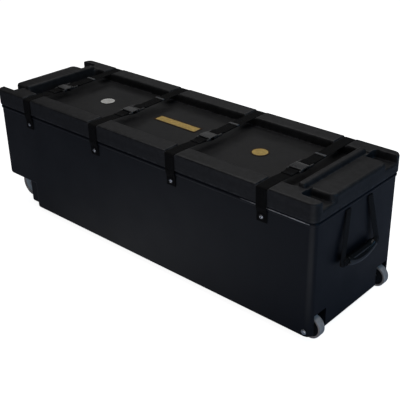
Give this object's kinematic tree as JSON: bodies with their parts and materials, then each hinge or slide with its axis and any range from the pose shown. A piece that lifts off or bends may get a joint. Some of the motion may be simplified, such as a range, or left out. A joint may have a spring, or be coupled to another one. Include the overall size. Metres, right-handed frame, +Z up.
{
  "type": "drum hardware case",
  "caption": "Long moulded case on wheels for drum stands, with a lift-off lid held by webbing straps and side-release buckles, and a webbing handle at each end.",
  "frame": {"origin": "on the floor under the middle of the case", "axes": "+X along the case towards the end with the small wheels, -Y towards the front with the buckles, +Z up"},
  "size_m": [1.4824, 0.4546, 0.469],
  "materials": {
    "shell": "moulded, fine grain",
    "webbing": "woven, matt",
    "buckle": "satin",
    "steel": "bright zinc",
    "black_steel": "satin black",
    "tyre": "matt grey",
    "hub": "moulded",
    "large_hub": "moulded",
    "grip": "satin tube",
    "gold": "satin, plain",
    "silver": "satin, plain"
  },
  "bodies": {
    "tub": {"tub": "shell", "strap_1_front_end": "webbing", "strap_1_back_end": "webbing", "rivet_1_front": "steel", "rivet_1_back": "steel", "strap_2_front_end": "webbing", "strap_2_back_end": "webbing", "rivet_2_front": "steel", "rivet_2_back": "steel", "strap_3_front_end": "webbing", "strap_3_back_end": "webbing", "rivet_3_front": "steel", "rivet_3_back": "steel", "strap_4_front_end": "webbing", "strap_4_back_end": "webbing", "rivet_4_front": "steel", "rivet_4_back": "steel", "small_axle_front": "steel", "small_axle_back": "steel", "large_axle": "steel", "wheel_bracket_front": "black_steel", "wheel_bracket_back": "black_steel", "handle_right_tab_front": "webbing", "handle_right_tab_back": "webbing", "handle_left_tab_front": "webbing", "handle_left_tab_back": "webbing"},
    "lid": {"lid": "shell", "strap_1_front": "webbing", "strap_1_back": "webbing", "buckle_1_socket": "buckle", "buckle_1_prongs": "buckle", "strap_2_front": "webbing", "strap_2_back": "webbing", "buckle_2_socket": "buckle", "buckle_2_prongs": "buckle", "strap_3_front": "webbing", "strap_3_back": "webbing", "buckle_3_socket": "buckle", "buckle_3_prongs": "buckle", "strap_4_front": "webbing", "strap_4_back": "webbing", "buckle_4_socket": "buckle", "buckle_4_prongs": "buckle", "left_disc": "silver", "right_disc": "gold", "middle_plate": "gold"},
    "small_wheel_front": {"small_wheel_front_tyre": "tyre", "small_wheel_front_hub": "hub"},
    "small_wheel_back": {"small_wheel_back_tyre": "tyre", "small_wheel_back_hub": "hub"},
    "large_wheel_front": {"large_wheel_front_tyre": "tyre", "large_wheel_front_hub": "large_hub"},
    "large_wheel_back": {"large_wheel_back_tyre": "tyre", "large_wheel_back_hub": "large_hub"},
    "handle_right": {"handle_right_webbing": "webbing", "handle_right_grip": "grip"},
    "handle_left": {"handle_left_webbing": "webbing", "handle_left_grip": "grip"}
  },
  "joints": [
    {"name": "lid_lift", "type": "slide", "parent": "tub", "child": "lid", "axis": [0, 0, 1], "range_m": [0, 0.15]},
    {"name": "small_wheel_front_spin", "type": "hinge", "parent": "tub", "child": "small_wheel_front", "pos_m": [0.69, -0.178, 0.03677], "axis": [0, 1, 0], "continuous": true},
    {"name": "small_wheel_back_spin", "type": "hinge", "parent": "tub", "child": "small_wheel_back", "pos_m": [0.69, 0.178, 0.03677], "axis": [0, 1, 0], "continuous": true},
    {"name": "large_wheel_front_spin", "type": "hinge", "parent": "tub", "child": "large_wheel_front", "pos_m": [-0.676, -0.134, 0.04969], "axis": [0, 1, 0], "continuous": true},
    {"name": "large_wheel_back_spin", "type": "hinge", "parent": "tub", "child": "large_wheel_back", "pos_m": [-0.676, 0.134, 0.04969], "axis": [0, 1, 0], "continuous": true},
    {"name": "handle_right_swing", "type": "hinge", "parent": "tub", "child": "handle_right", "pos_m": [0.7128, 0, 0.378], "axis": [0, -1, 0], "range_deg": [0, 120]},
    {"name": "handle_left_swing", "type": "hinge", "parent": "tub", "child": "handle_left", "pos_m": [-0.7128, 0, 0.378], "axis": [0, 1, 0], "range_deg": [0, 120]}
  ]
}
